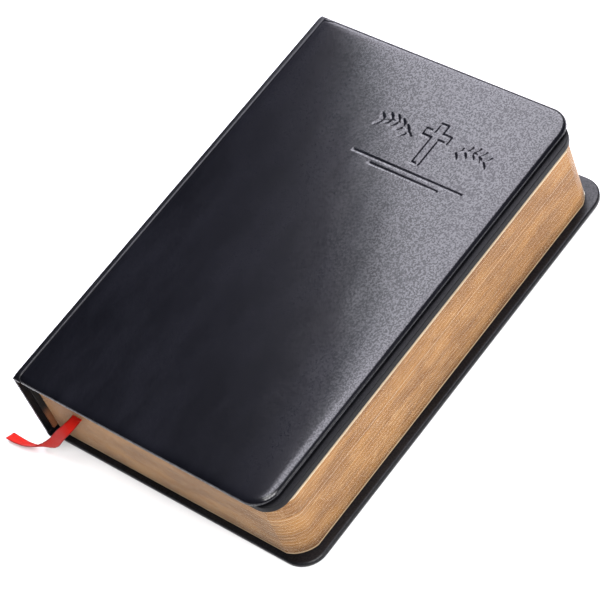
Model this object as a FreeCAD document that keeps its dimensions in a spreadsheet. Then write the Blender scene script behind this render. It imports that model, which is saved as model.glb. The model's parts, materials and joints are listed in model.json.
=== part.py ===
import FreeCAD, Part
import math
import os
import Sketcher

vector = FreeCAD.Vector
doc = FreeCAD.newDocument("bible")
sheet = doc.addObject("Spreadsheet::Sheet", "dims")

# Driving dimensions in millimetres; each size that can be set by itself is written once, here
driving = {
    # leaves and sections
    "leaf_width": 128.5,
    "leaf_length": 197.0,
    "leaf_corner": 9.0,
    "section_thickness": 1.9,
    "section_count": 16,
    "leaf_gap": 0.15,
    "fold_radius": 0.85,
    "fold_share": 0.45,     # the fold's round takes at most this share of a section's thickness
    "flyleaf": 0.4,
    "pastedown": 0.3,
    "clearance": 0.3,
    # front cover: a padded leather panel on a board wrapped in lining
    "tail_overhang": 4.0,
    "head_overhang": 4.0,
    "pad_height": 3.0,
    "pad_setback": 2.5,
    "pad_roll": 2.2,
    "pad_wall": 1.2,
    "skin": 0.9,
    "cover_corner": 10.5,
    "spine_corner": 1.5,
    "lining_skin": 0.5,
    "front_board": 2.7,
    "board_start": 2.5,
    "front_tail_overhang": 2.5,
    # back cover: leather wrapped round a board
    "back_board": 1.5,
    "back_overhang": 4.0,
    "back_tail_overhang": 2.5,
    "back_edge_round": 0.6,
    "rim": 6.0,
    # spine and its linings
    "hinge_radius": 1.5,
    "hinge_gap": 0.5,
    "neck": 1.3,
    "inlay": 1.0,
    "inlay_margin": 3.0,
    "hollow": 2.4,
    "tube_wall": 0.35,
    "tube_margin": 6.0,
    "mull": 0.3,
    "sewing": 0.4,
    "tape_width": 12.0,
    "thread_width": 0.8,
    # ribbon marker
    "ribbon_width": 5.0,
    "ribbon_thickness": 0.25,
    "ribbon_exit": 19.4,
    "ribbon_anchor": 4.5,
    "ribbon_stub": 1.0,
}
for row, (alias, size) in enumerate(driving.items(), start=1):
    sheet.set(f"A{row}", alias)
    sheet.set(f"B{row}", str(size))
    sheet.setAlias(f"B{row}", alias)
doc.recompute()

ribbonAbove = 5         # the ribbon lies under this many sections
tapeStations = (0.22, 0.5, 0.78)
threadStations = (0.06, 0.16, 0.28, 0.44, 0.56, 0.72, 0.84, 0.94)

# Places, as expressions of the sheet. x runs from the spine's face, y from the tail, z from the table
foldX = "(dims.skin + dims.inlay + dims.hollow + dims.mull + dims.sewing)"
leafEdge = f"({foldX} + dims.leaf_width)"
leafTail = "dims.tail_overhang"
leafHead = "(dims.tail_overhang + dims.leaf_length)"
coverLength = "(dims.tail_overhang + dims.leaf_length + dims.head_overhang)"
backWidth = f"({leafEdge} + dims.back_overhang)"
coverStart = "(2 * dims.hinge_radius + dims.hinge_gap)"
frontEdge = f"({leafEdge} - dims.pad_setback)"
frontTail = "(dims.tail_overhang - dims.front_tail_overhang)"
backTail = "(dims.tail_overhang - dims.back_tail_overhang)"
backInner = "(dims.skin + dims.back_board + dims.pastedown)"
blockBase = f"({backInner} + 2 * dims.clearance + dims.flyleaf)"
pitch = "(dims.section_thickness + dims.leaf_gap)"
blockTop = (f"({blockBase} + dims.section_count * {pitch} - dims.leaf_gap"
            " + dims.ribbon_thickness)")
frontInner = f"({blockTop} + 2 * dims.clearance + dims.flyleaf)"
liningBase = f"({frontInner} + dims.pastedown)"
padBase = f"({liningBase} + dims.front_board + dims.lining_skin)"
coverTop = f"({padBase} + dims.pad_height)"


def value(expression):
    return float(sheet.evalExpression(expression))


def originPlane(body, role):
    return [f for f in body.Origin.OriginFeatures if f.Role == role][0]


heights = []            # (body, the height of its underside), bound once its features are made


def settleBodies():
    """Bind each body's place: the origin is on the table, under the middle of the back cover."""
    for body, zFrom in heights:
        body.setExpression(".Placement.Base.x", f"-{backWidth} / 2")
        body.setExpression(".Placement.Base.y", f"-{coverLength} / 2")
        body.setExpression(".Placement.Base.z", zFrom)


def outline(body, name, corners, height="0 * dims.skin"):
    """A closed sketch of straight sides on the body's XY plane; corners are pairs of expressions."""
    sketch = body.newObject("Sketcher::SketchObject", name)
    sketch.AttachmentSupport = [(originPlane(body, "XY_Plane"), "")]
    sketch.MapMode = "FlatFace"
    sketch.setExpression(".AttachmentOffset.Base.z", height)
    places = [vector(value(x), value(y), 0) for x, y in corners]
    count = len(places)
    for index in range(count):
        sketch.addGeometry(Part.LineSegment(places[index], places[(index + 1) % count]))
    for index in range(count):
        sketch.addConstraint(Sketcher.Constraint("Coincident", index, 2, (index + 1) % count, 1))
    for index, (x, y) in enumerate(corners):
        acrossId = sketch.addConstraint(
            Sketcher.Constraint("DistanceX", -1, 1, index, 1, places[index].x))
        sketch.setExpression(f"Constraints[{acrossId}]", x)
        alongId = sketch.addConstraint(
            Sketcher.Constraint("DistanceY", -1, 1, index, 1, places[index].y))
        sketch.setExpression(f"Constraints[{alongId}]", y)
    return sketch


def rectangle(xFrom, xTo, yFrom, yTo):
    return [(xFrom, yFrom), (xTo, yFrom), (xTo, yTo), (xFrom, yTo)]


def pad(body, sketch, height):
    feature = body.newObject("PartDesign::Pad", f"{body.Name}_pad")
    feature.Profile = sketch
    feature.setExpression("Length", height)
    sketch.Visibility = False
    doc.recompute()
    return feature


def pocketUp(body, sketch, depth):
    """Cut upwards from the sketch, and see that it cut something."""
    before = body.Shape.Volume
    feature = body.newObject("PartDesign::Pocket", f"{body.Name}_pocket")
    feature.Profile = sketch
    feature.Reversed = True
    feature.setExpression("Length", depth)
    sketch.Visibility = False
    doc.recompute()
    if not body.Shape.Volume < before:
        raise RuntimeError(f"the pocket of {body.Label} cut nothing")
    return feature


def roundEdges(body, name, chosen, radius):
    """Fillet the edges of the body's tip that the test picks."""
    base = body.Tip
    names = [f"Edge{i}" for i, edge in enumerate(base.Shape.Edges, start=1) if chosen(edge)]
    feature = body.newObject("PartDesign::Fillet", f"{body.Name}_{name}")
    feature.Base = (base, names)
    feature.setExpression("Radius", radius)
    doc.recompute()
    return feature


def isUpright(edge):
    box = edge.BoundBox
    return box.ZLength > 0.1 and box.XLength < 1e-4 and box.YLength < 1e-4


def uprightNear(*spots):
    """Picks the upright edges that stand at the given (x, y) places."""
    return lambda edge: isUpright(edge) and any(
        abs(edge.BoundBox.XMin - x) < 1e-3 and abs(edge.BoundBox.YMin - y) < 1e-3
        for x, y in spots)


def slab(label, zFrom, height, sides):
    """A flat plate with square corners; sides are its x from, x to, y from and y to."""
    body = doc.addObject("PartDesign::Body", label)
    body.Label = label
    pad(body, outline(body, f"{label}_outline", rectangle(*sides)), height)
    heights.append((body, zFrom))
    return body


def roundFore(body, name, sides, radius):
    """Round the two upright edges at the fore-edge."""
    spots = [(value(sides[1]), value(y)) for y in sides[2:]]
    roundEdges(body, name, uprightNear(*spots), radius)


def inset(sides, wall):
    xFrom, xTo, yFrom, yTo = sides
    return (f"{xFrom} + {wall}", f"{xTo} - {wall}", f"{yFrom} + {wall}", f"{yTo} - {wall}")


def plate(label, zFrom, height, sides, corner):
    """A flat plate with rounded corners at the fore-edge."""
    body = slab(label, zFrom, height, sides)
    roundFore(body, "corners", sides, corner)
    return body


def tray(label, zFrom, height, wall, floor, sides, corner, mouthDown):
    """A plate hollowed from one side: the skin that wraps over what lies inside."""
    body = slab(label, zFrom, height, sides)
    inside = inset(sides, wall)
    level = "0 * dims.skin" if mouthDown else floor
    pocketUp(body, outline(body, f"{label}_mouth", rectangle(*inside), level),
             f"{height} - {floor}")
    roundFore(body, "corners", sides, corner)
    roundFore(body, "inner_corners", inside, f"{corner} - {wall}")
    return body


def block(label, xFrom, xSize, yFrom, ySize, zFrom, zSize):
    """A straight strip or sheet."""
    box = doc.addObject("Part::Box", label)
    box.Label = label
    box.setExpression("Length", xSize)
    box.setExpression("Width", ySize)
    box.setExpression("Height", zSize)
    box.setExpression(".Placement.Base.x", f"{xFrom} - {backWidth} / 2")
    box.setExpression(".Placement.Base.y", f"{yFrom} - {coverLength} / 2")
    box.setExpression(".Placement.Base.z", zFrom)
    return box


parts = []
leafSides = (foldX, leafEdge, leafTail, leafHead)


# Front cover: padded leather panel, foam, board wrapped in lining, pastedown
def makeFrontCover():
    panelSides = (coverStart, frontEdge, "0 * dims.skin", coverLength)
    panel = tray("front_cover_leather", padBase, "dims.pad_height", "dims.pad_wall", "dims.skin",
                 panelSides, "dims.cover_corner", True)
    spineSpots = [(value(coverStart), 0.0), (value(coverStart), value(coverLength))]
    roundEdges(panel, "spine_corners", uprightNear(*spineSpots), "dims.spine_corner")
    top = value("dims.pad_height")

    def onRoll(edge):
        box = edge.BoundBox
        isTop = abs(box.ZMin - top) < 1e-3 and abs(box.ZMax - top) < 1e-3
        return isTop and box.XMax > value(coverStart) + value("dims.spine_corner") + 0.01

    roundEdges(panel, "roll", onRoll, "dims.pad_roll")
    foam = plate("front_cover_foam", padBase, "dims.pad_height - dims.skin",
                 inset(panelSides, "dims.pad_wall"), "dims.cover_corner - dims.pad_wall")
    boardSides = (f"({coverStart} + dims.board_start)", leafEdge, frontTail, leafHead)
    lining = tray("front_cover_lining", liningBase, "dims.front_board + dims.lining_skin",
                  "dims.lining_skin", "dims.lining_skin", boardSides, "dims.leaf_corner", True)
    board = plate("front_cover_board", liningBase, "dims.front_board",
                  inset(boardSides, "dims.lining_skin"), "dims.leaf_corner - dims.lining_skin")
    paper = plate("front_pastedown", frontInner, "dims.pastedown",
                  inset(boardSides, "dims.pad_wall"), "dims.leaf_corner - dims.pad_wall")
    parts.extend([panel, foam, lining, board, paper])


# Back cover: leather turned in round a board, with its pastedown
def makeBackCover():
    height = "dims.skin + dims.back_board"
    sides = (coverStart, backWidth, backTail, coverLength)
    leather = tray("back_cover_leather", "0 * dims.skin", f"({height})", "dims.skin",
                   "dims.skin", sides, "dims.cover_corner", False)

    def onTable(edge):
        box = edge.BoundBox
        return box.ZMax < 1e-3 and box.XMax > value(coverStart) + 0.01

    roundEdges(leather, "lower_edge", onTable, "dims.back_edge_round")
    board = plate("back_cover_board", "dims.skin", "dims.back_board", inset(sides, "dims.skin"),
                  "dims.cover_corner - dims.skin")
    paper = plate("back_pastedown", height, "dims.pastedown", inset(sides, "dims.rim"),
                  "dims.cover_corner - dims.rim")
    parts.extend([leather, board, paper])


# Sections: folded and sewn gatherings of leaves, counted from the front
def sectionBase(index):
    count = int(value("dims.section_count"))
    lift = " + dims.ribbon_thickness" if index <= ribbonAbove else ""
    return f"({blockBase} + {count - index} * {pitch}{lift})"


def makeSections():
    foldEnd = value(foldX) + 1e-3

    def onFold(edge):
        return edge.BoundBox.XMax < foldEnd and edge.BoundBox.YLength > 1.0

    for index in range(1, int(value("dims.section_count")) + 1):
        section = plate(f"section_{index:02d}", sectionBase(index), "dims.section_thickness",
                        leafSides, "dims.leaf_corner")
        roundEdges(section, "fold", onFold,
                   "min(dims.fold_radius; dims.fold_share * dims.section_thickness)")
        parts.append(section)


def makeFlyleaves():
    levels = {"back_flyleaf": f"{backInner} + dims.clearance",
              "front_flyleaf": f"{blockTop} + dims.clearance"}
    for label, zFrom in levels.items():
        parts.append(plate(label, zFrom, "dims.flyleaf", leafSides, "dims.leaf_corner"))


# Spine: leather panel with a stiff inlay, a flattened paper tube, gauze, tapes and thread
spineFrom = "(2 * dims.hinge_radius + dims.neck)"
spineTo = f"({coverTop} - 2 * dims.hinge_radius - dims.neck)"
stackHeight = f"({blockTop} - {blockBase})"


def hingeLeather(label, axisZ, neckZ):
    """The flexible strip beside a cover: a round about the hinge line, and the neck that holds it."""
    roll = doc.addObject("Part::Cylinder", f"{label}_roll")
    roll.setExpression("Radius", "dims.hinge_radius")
    roll.setExpression("Height", coverLength)
    roll.Placement.Rotation = FreeCAD.Rotation(vector(1, 0, 0), -90)
    roll.setExpression(".Placement.Base.x", f"dims.hinge_radius - {backWidth} / 2")
    roll.setExpression(".Placement.Base.y", f"-{coverLength} / 2")
    roll.setExpression(".Placement.Base.z", axisZ)
    stem = block(f"{label}_stem", "dims.skin / 2", "dims.hinge_radius", "0 * dims.skin",
                 coverLength, neckZ, "dims.neck + dims.hinge_radius")
    joint = doc.addObject("Part::Fuse", label)
    joint.Base = roll
    joint.Tool = stem
    joint.Label = label
    return joint


def makeSpine():
    leather = block("spine_leather", "0 * dims.skin", "dims.skin", "0 * dims.skin", coverLength,
                    spineFrom, f"{spineTo} - {spineFrom}")
    inlay = block("spine_inlay", "dims.skin", "dims.inlay", "dims.inlay_margin",
                  f"{coverLength} - 2 * dims.inlay_margin", spineFrom, f"{spineTo} - {spineFrom}")
    tubeX = "(dims.skin + dims.inlay)"
    tubeY = f"({leafTail} + dims.inlay_margin)"
    tubeLength = "(dims.leaf_length - 2 * dims.inlay_margin)"
    tubeHeight = f"({stackHeight} - dims.tube_margin)"
    outer = block("tube_outer", tubeX, "dims.hollow", tubeY, tubeLength,
                  f"{blockBase} + dims.tube_margin / 2", tubeHeight)
    inner = block("tube_inner", f"{tubeX} + dims.tube_wall", "dims.hollow - 2 * dims.tube_wall",
                  f"{tubeY} - dims.tube_wall", f"{tubeLength} + 2 * dims.tube_wall",
                  f"{blockBase} + dims.tube_margin / 2 + dims.tube_wall",
                  f"{tubeHeight} - 2 * dims.tube_wall")
    tube = doc.addObject("Part::Cut", "spine_hollow_tube")
    tube.Base = outer
    tube.Tool = inner
    tube.Label = "spine_hollow_tube"
    mull = block("spine_mull", f"{tubeX} + dims.hollow", "dims.mull", tubeY, tubeLength,
                 blockBase, stackHeight)
    front = hingeLeather("front_joint_leather", f"{coverTop} - dims.hinge_radius", spineTo)
    back = hingeLeather("back_joint_leather", "dims.hinge_radius",
                        f"{spineFrom} - dims.neck - dims.hinge_radius")
    parts.extend([leather, inlay, tube, mull, front, back])


def strips(label, stations, width):
    """Upright strips across the sections' folds, as one group of separate solids."""
    pieces = []
    for number, station in enumerate(stations, start=1):
        pieces.append(block(f"{label}_{number}", f"{foldX} - dims.sewing", "dims.sewing",
                            f"{leafTail} + {station} * dims.leaf_length - {width} / 2", width,
                            blockBase, stackHeight))
    group = doc.addObject("Part::Compound", label)
    group.Links = pieces
    group.Label = label
    return group


# Ribbon: the length between the sections, and the free end that hangs out at the tail
ribbonLevel = f"({sectionBase(ribbonAbove)} - (dims.leaf_gap + dims.ribbon_thickness) / 2)"


def makeRibbonMarker():
    body = doc.addObject("PartDesign::Body", "ribbon_marker")
    body.Label = "ribbon_marker"
    exitX = f"({foldX} + dims.ribbon_exit)"
    anchorX = f"({foldX} + dims.ribbon_anchor)"
    low = f"({leafTail} - dims.ribbon_stub)"
    high = f"({leafHead} - dims.ribbon_width)"
    half = "dims.ribbon_width / 2"
    corners = [(f"{exitX} - {half}", low), (f"{exitX} + {half}", low),
               (f"{anchorX} + {half}", high), (f"{anchorX} - {half}", high)]
    pad(body, outline(body, "ribbon_marker_outline", corners), "dims.ribbon_thickness")
    heights.append((body, f"{ribbonLevel} - dims.ribbon_thickness / 2"))
    return body


# The free end's corners after the marker's stub: (x, y, z) from the spine's face, the tail and the table
ribbonRoute = [
    (24.2, 0.2, 26.1),
    (22.4, -2.4, 24.3),
    (18.2, -4.0, 19.6),
    (10.6, -5.0, 9.4),
    (2.0, -6.8, 3.8),
    (-6.8, -8.4, 2.7),
    (-15.4, -8.0, 2.7),
]


def tubeAlong(points, radius):
    """Straight runs joined by tangent arcs, each as large as its two runs allow."""
    edges = []
    start = points[0]
    for before, corner, after in zip(points, points[1:], points[2:]):
        inward = (corner - before).normalize()
        outward = (after - corner).normalize()
        turn = inward.getAngle(outward)
        reach = 0.45 * min((corner - before).Length, (after - corner).Length)
        arcFrom = corner - inward * reach
        arcTo = corner + outward * reach
        middle = (outward - inward).normalize()
        bend = reach / math.tan(turn / 2)
        centre = corner + middle * math.hypot(reach, bend)
        edges.append(Part.LineSegment(start, arcFrom).toShape())
        edges.append(Part.Arc(arcFrom, centre - middle * bend, arcTo).toShape())
        start = arcTo
        print(f"ribbon bend radius {bend:.1f} mm")
    edges.append(Part.LineSegment(start, points[-1]).toShape())
    path = Part.Wire(edges)
    firstRun = (points[1] - points[0]).normalize()
    section = Part.Wire([Part.Circle(points[0], firstRun, radius).toShape()])
    solid = path.makePipeShell([section], True, False)
    expected = math.pi * radius ** 2 * path.Length
    print(f"ribbon tail: length {path.Length:.1f} mm, volume {solid.Volume:.0f} of {expected:.0f}")
    return solid


def makeRibbonTail():
    exitPlace = (value(f"{foldX} + dims.ribbon_exit"), value(f"{leafTail} - dims.ribbon_stub"),
                 value(ribbonLevel))
    points = [vector(*exitPlace)] + [vector(*place) for place in ribbonRoute]
    shift = vector(-value(backWidth) / 2, -value(coverLength) / 2, 0)
    tail = doc.addObject("Part::Feature", "ribbon_tail")
    tail.Label = "ribbon_tail"
    tail.Shape = tubeAlong(points, value("dims.ribbon_width") / 2)
    tail.Placement = FreeCAD.Placement(shift, FreeCAD.Rotation())
    return tail


makeFrontCover()
makeBackCover()
makeFlyleaves()
makeSections()
makeSpine()
parts.append(strips("sewing_tapes", tapeStations, "dims.tape_width"))
parts.append(strips("sewing_thread", threadStations, "dims.thread_width"))
parts.append(makeRibbonMarker())
parts.append(makeRibbonTail())
settleBodies()
doc.recompute()

for item in doc.Objects:
    if "Invalid" in item.State or "Error" in item.State:
        raise RuntimeError(f"{item.Label} failed: {item.State}")
for part in parts:
    if part.Shape.isNull() or not part.Shape.isValid():
        raise RuntimeError(f"{part.Label} has no valid shape")

os.makedirs("parts", exist_ok=True)
for part in parts:
    part.Shape.exportStep(f"parts/{part.Label}.step")
print(f"{len(parts)} nodes, cover top at {value(coverTop):.2f} mm, leaves from {value(blockBase):.2f}"
      f" to {value(blockTop):.2f} mm")
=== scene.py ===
import json
import math

import bmesh
import bpy
from mathutils import Matrix, Vector, noise


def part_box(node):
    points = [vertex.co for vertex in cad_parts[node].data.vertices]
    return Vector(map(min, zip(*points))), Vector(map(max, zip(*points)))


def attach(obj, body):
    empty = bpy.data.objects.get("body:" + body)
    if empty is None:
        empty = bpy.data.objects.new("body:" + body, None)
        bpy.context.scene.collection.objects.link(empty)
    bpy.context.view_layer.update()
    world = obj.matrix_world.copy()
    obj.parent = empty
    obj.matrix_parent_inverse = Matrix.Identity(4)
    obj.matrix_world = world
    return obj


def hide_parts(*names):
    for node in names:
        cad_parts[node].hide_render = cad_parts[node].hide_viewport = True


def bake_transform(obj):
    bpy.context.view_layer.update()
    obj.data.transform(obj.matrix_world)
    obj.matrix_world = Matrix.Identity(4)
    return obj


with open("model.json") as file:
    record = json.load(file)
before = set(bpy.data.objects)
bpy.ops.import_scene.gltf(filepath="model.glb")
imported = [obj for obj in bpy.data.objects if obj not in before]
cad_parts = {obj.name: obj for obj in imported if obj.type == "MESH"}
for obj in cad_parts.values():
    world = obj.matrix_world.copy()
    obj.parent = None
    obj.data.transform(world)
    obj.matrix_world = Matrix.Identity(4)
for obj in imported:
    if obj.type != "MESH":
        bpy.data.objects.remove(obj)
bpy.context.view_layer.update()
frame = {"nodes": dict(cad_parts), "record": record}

mm = 0.001
scene = bpy.context.scene
scene.view_settings.view_transform = "Standard"
print("frame loaded:", len(frame["nodes"]), "nodes")

# Camera
cameraValues = {
    "place": (0.57615, -0.3717, 0.8327),
    "forward": (-0.5445, 0.3418, -0.7660),
    "down": (0.3611, -0.7287, -0.5819),
    "lens": 160.65,
    "sensor": 36.0,
}


def turnTo(side, up, back, place):
    turned = Matrix((side, up, back)).transposed().to_4x4()
    turned.translation = place
    return turned


def makeCamera(values):
    data = bpy.data.cameras.new("camera")
    data.lens = values["lens"]
    data.sensor_width = values["sensor"]
    data.clip_end = 20
    camera = bpy.data.objects.new("camera", data)
    scene.collection.objects.link(camera)
    scene.camera = camera
    back = -Vector(values["forward"]).normalized()
    side = (-Vector(values["down"])).cross(back).normalized()
    camera.matrix_world = turnTo(side, back.cross(side), back, Vector(values["place"]))


makeCamera(cameraValues)


# Shader helpers
def socket(group, name, kind, way, value=None):
    made = group.interface.new_socket(name=name, in_out=way, socket_type=kind)
    if value is not None:
        made.default_value = value


def node(tree, kind, settings=None, links=None):
    made = tree.nodes.new(kind)
    for key, value in (settings or {}).items():
        setattr(made, key, value)
    for key, value in (links or {}).items():
        if isinstance(value, bpy.types.NodeSocket):
            tree.links.new(value, made.inputs[key])
        else:
            made.inputs[key].default_value = value
    return made


def mathNode(tree, operation, first, second=0.0, clamp=False):
    made = node(tree, "ShaderNodeMath", {"operation": operation, "use_clamp": clamp}, {0: first, 1: second})
    return made.outputs[0]


def awayFrom(tree, value, middle=0.5):
    return mathNode(tree, "ABSOLUTE", mathNode(tree, "SUBTRACT", value, middle))


def stretch(tree, vector, scale):
    made = node(tree, "ShaderNodeVectorMath", {"operation": "MULTIPLY"}, {0: vector, 1: scale})
    return made.outputs[0]


def noiseNode(tree, vector, scale, detail=3.0, rough=0.5):
    links = {"Vector": vector, "Scale": scale, "Detail": detail, "Roughness": rough}
    return node(tree, "ShaderNodeTexNoise", {}, links).outputs["Fac"]


def spread(tree, value, low, high, toLow=0.0, toHigh=1.0):
    links = {"Value": value, "From Min": low, "From Max": high, "To Min": toLow, "To Max": toHigh}
    return node(tree, "ShaderNodeMapRange", {"interpolation_type": "SMOOTHSTEP"}, links).outputs["Result"]


def blendColours(tree, share, first, second, mode="MIX"):
    made = node(tree, "ShaderNodeMix", {"data_type": "RGBA", "blend_type": mode},
                {0: share, 6: first, 7: second})
    return made.outputs[2]


# Pebbled grain with soft creases, for every leather and lining
grainValues = {
    "pebbles": 1400.0, "pebbleEdge": 0.35, "wanderScale": 420.0, "wander": 0.0007, "creases": 0.4,
    "creaseScale": 150.0, "creaseStretch": (1.0, 0.55, 1.0), "creaseWidth": 0.09, "gloss": (0.34, 0.66),
    "streakScale": 38.0, "streakStretch": (1.0, 0.35, 1.0), "mottle": (0.3, 0.7),
}


def makeGrainGroup(values):
    group = bpy.data.node_groups.new("pebbledGrain", "ShaderNodeTree")
    socket(group, "Vector", "NodeSocketVector", "INPUT")
    socket(group, "Pebbles Per Metre", "NodeSocketFloat", "INPUT", values["pebbles"])
    socket(group, "Creases", "NodeSocketFloat", "INPUT", values["creases"])
    socket(group, "Height", "NodeSocketFloat", "OUTPUT")
    socket(group, "Mottle", "NodeSocketFloat", "OUTPUT")
    socket(group, "Gloss", "NodeSocketFloat", "OUTPUT")
    entry = group.nodes.new("NodeGroupInput")
    leave = group.nodes.new("NodeGroupOutput")
    vector = entry.outputs["Vector"]
    wander = node(group, "ShaderNodeTexNoise", {}, {"Vector": vector, "Scale": values["wanderScale"]})
    small = stretch(group, wander.outputs["Color"], (values["wander"],) * 3)
    bent = node(group, "ShaderNodeVectorMath", {"operation": "ADD"}, {0: vector, 1: small}).outputs[0]
    cells = node(group, "ShaderNodeTexVoronoi", {"feature": "DISTANCE_TO_EDGE"},
                 {"Vector": bent, "Scale": entry.outputs["Pebbles Per Metre"]}).outputs["Distance"]
    pebbles = spread(group, cells, 0.0, values["pebbleEdge"])
    folded = stretch(group, vector, values["creaseStretch"])
    creaseNoise = noiseNode(group, folded, values["creaseScale"], 4.0, 0.6)
    crease = spread(group, awayFrom(group, creaseNoise), 0.0, values["creaseWidth"])
    deep = mathNode(group, "MULTIPLY", crease, entry.outputs["Creases"])
    group.links.new(mathNode(group, "ADD", pebbles, deep), leave.inputs["Height"])
    # spots about as wide as a pebble, with more gloss or less
    speckle = noiseNode(group, vector, entry.outputs["Pebbles Per Metre"], 1.0, 0.5)
    group.links.new(spread(group, speckle, *values["gloss"]), leave.inputs["Gloss"])
    drawn = stretch(group, vector, values["streakStretch"])
    streaks = noiseNode(group, drawn, values["streakScale"], 6.0, 0.68)
    group.links.new(spread(group, streaks, *values["mottle"]), leave.inputs["Mottle"])
    return group


# Paper fibres: long soft flecks and a fine tooth
fibreValues = {"fibres": 900.0, "stretch": (1.0, 0.25, 1.0), "cloudScale": 45.0, "fleck": (0.3, 0.72)}


def makeFibreGroup(values):
    group = bpy.data.node_groups.new("paperFibre", "ShaderNodeTree")
    socket(group, "Vector", "NodeSocketVector", "INPUT")
    socket(group, "Fibres Per Metre", "NodeSocketFloat", "INPUT", values["fibres"])
    socket(group, "Height", "NodeSocketFloat", "OUTPUT")
    socket(group, "Fleck", "NodeSocketFloat", "OUTPUT")
    entry = group.nodes.new("NodeGroupInput")
    leave = group.nodes.new("NodeGroupOutput")
    drawn = stretch(group, entry.outputs["Vector"], values["stretch"])
    fibres = noiseNode(group, drawn, entry.outputs["Fibres Per Metre"], 5.0, 0.7)
    group.links.new(fibres, leave.inputs["Height"])
    clouds = noiseNode(group, entry.outputs["Vector"], values["cloudScale"], 4.0, 0.6)
    group.links.new(spread(group, clouds, *values["fleck"]), leave.inputs["Fleck"])
    return group


# Plain weave of crossing threads, for gauze, tape and ribbon
def makeWeaveGroup():
    group = bpy.data.node_groups.new("plainWeave", "ShaderNodeTree")
    socket(group, "Across", "NodeSocketFloat", "INPUT")
    socket(group, "Along", "NodeSocketFloat", "INPUT")
    socket(group, "Across Count", "NodeSocketFloat", "INPUT", 1000.0)
    socket(group, "Along Count", "NodeSocketFloat", "INPUT", 1000.0)
    socket(group, "Height", "NodeSocketFloat", "OUTPUT")
    entry = group.nodes.new("NodeGroupInput")
    leave = group.nodes.new("NodeGroupOutput")
    turns = []
    for way in ("Across", "Along"):
        count = mathNode(group, "MULTIPLY", entry.outputs[way], entry.outputs[way + " Count"])
        turns.append(mathNode(group, "SINE", mathNode(group, "MULTIPLY", count, math.tau)))
    crossed = mathNode(group, "MULTIPLY", turns[0], turns[1])
    group.links.new(spread(group, crossed, -1.0, 1.0), leave.inputs["Height"])
    return group


grainGroup = makeGrainGroup(grainValues)
fibreGroup = makeFibreGroup(fibreValues)
weaveGroup = makeWeaveGroup()


def place(tree, group, links):
    return node(tree, "ShaderNodeGroup", {"node_tree": group}, links)


def startMaterial(name, fixed):
    material = bpy.data.materials.new(name)
    material.use_nodes = True
    tree = material.node_tree
    tree.nodes.clear()
    shader = node(tree, "ShaderNodeBsdfPrincipled", {}, fixed)
    out = node(tree, "ShaderNodeOutputMaterial")
    tree.links.new(shader.outputs["BSDF"], out.inputs["Surface"])
    coordinates = node(tree, "ShaderNodeTexCoord")
    return material, tree, shader, coordinates


def bumpInto(tree, shader, height, depth, strength=1.0):
    bump = node(tree, "ShaderNodeBump", {}, {"Height": height, "Distance": depth, "Strength": strength})
    tree.links.new(bump.outputs["Normal"], shader.inputs["Normal"])


# coat: the least and the most top gloss, as the grain's spots share it out
leatherLooks = {
    "coverLeather": {"dark": (0.0020, 0.0021, 0.0034, 1), "light": (0.0048, 0.0049, 0.0074, 1),
                     "pebbles": 1500.0, "creases": 0.10, "depth": 0.030 * mm, "rough": (0.32, 0.46),
                     "specular": 0.02, "coat": (0.52, 1.0), "coatRough": 0.17},
    "backLeather": {"dark": (0.0020, 0.0021, 0.0030, 1), "light": (0.0046, 0.0047, 0.0062, 1),
                    "pebbles": 1500.0, "creases": 0.12, "depth": 0.030 * mm, "rough": (0.36, 0.50),
                    "specular": 0.10, "coat": (0.20, 0.42), "coatRough": 0.30},
    "jointLeather": {"dark": (0.0020, 0.0021, 0.0032, 1), "light": (0.0050, 0.0051, 0.0072, 1),
                     "pebbles": 1500.0, "creases": 0.40, "depth": 0.035 * mm, "rough": (0.34, 0.48),
                     "specular": 0.10, "coat": (0.22, 0.45), "coatRough": 0.26},
    "liningLeather": {"dark": (0.0018, 0.0018, 0.0024, 1), "light": (0.0038, 0.0038, 0.0048, 1),
                      "pebbles": 2200.0, "creases": 0.20, "depth": 0.025 * mm, "rough": (0.42, 0.56),
                      "specular": 0.08, "coat": (0.04, 0.12), "coatRough": 0.36},
}


def makeLeather(name, looks):
    material, tree, shader, coordinates = startMaterial(
        name, {"Specular IOR Level": looks["specular"], "Coat Roughness": looks["coatRough"]})
    grain = place(tree, grainGroup, {"Vector": coordinates.outputs["Object"],
                                     "Pebbles Per Metre": looks["pebbles"], "Creases": looks["creases"]})
    colour = blendColours(tree, grain.outputs["Mottle"], looks["dark"], looks["light"])
    tree.links.new(colour, shader.inputs["Base Color"])
    rough = spread(tree, grain.outputs["Mottle"], 0.0, 1.0, *looks["rough"])
    tree.links.new(rough, shader.inputs["Roughness"])
    coat = spread(tree, grain.outputs["Gloss"], 0.0, 1.0, *looks["coat"])
    tree.links.new(coat, shader.inputs["Coat Weight"])
    bumpInto(tree, shader, grain.outputs["Height"], looks["depth"])
    return material


# low: the colour of the painted shade on the edges near the back cover
giltLooks = {
    "giltEdge": {"pale": (0.33, 0.163, 0.050, 1), "deep": (0.165, 0.072, 0.022, 1),
                 "worn": (0.55, 0.35, 0.17, 1), "low": (0.09, 0.036, 0.014, 1),
                 "linesPerMetre": 3000.0, "metal": 0.20, "depth": 0.05 * mm},
    "giltFlyleafEdge": {"pale": (0.56, 0.42, 0.27, 1), "deep": (0.42, 0.29, 0.17, 1),
                        "worn": (0.62, 0.50, 0.35, 1), "low": (0.28, 0.17, 0.09, 1),
                        "linesPerMetre": 3000.0, "metal": 0.05, "depth": 0.03 * mm},
}
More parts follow.
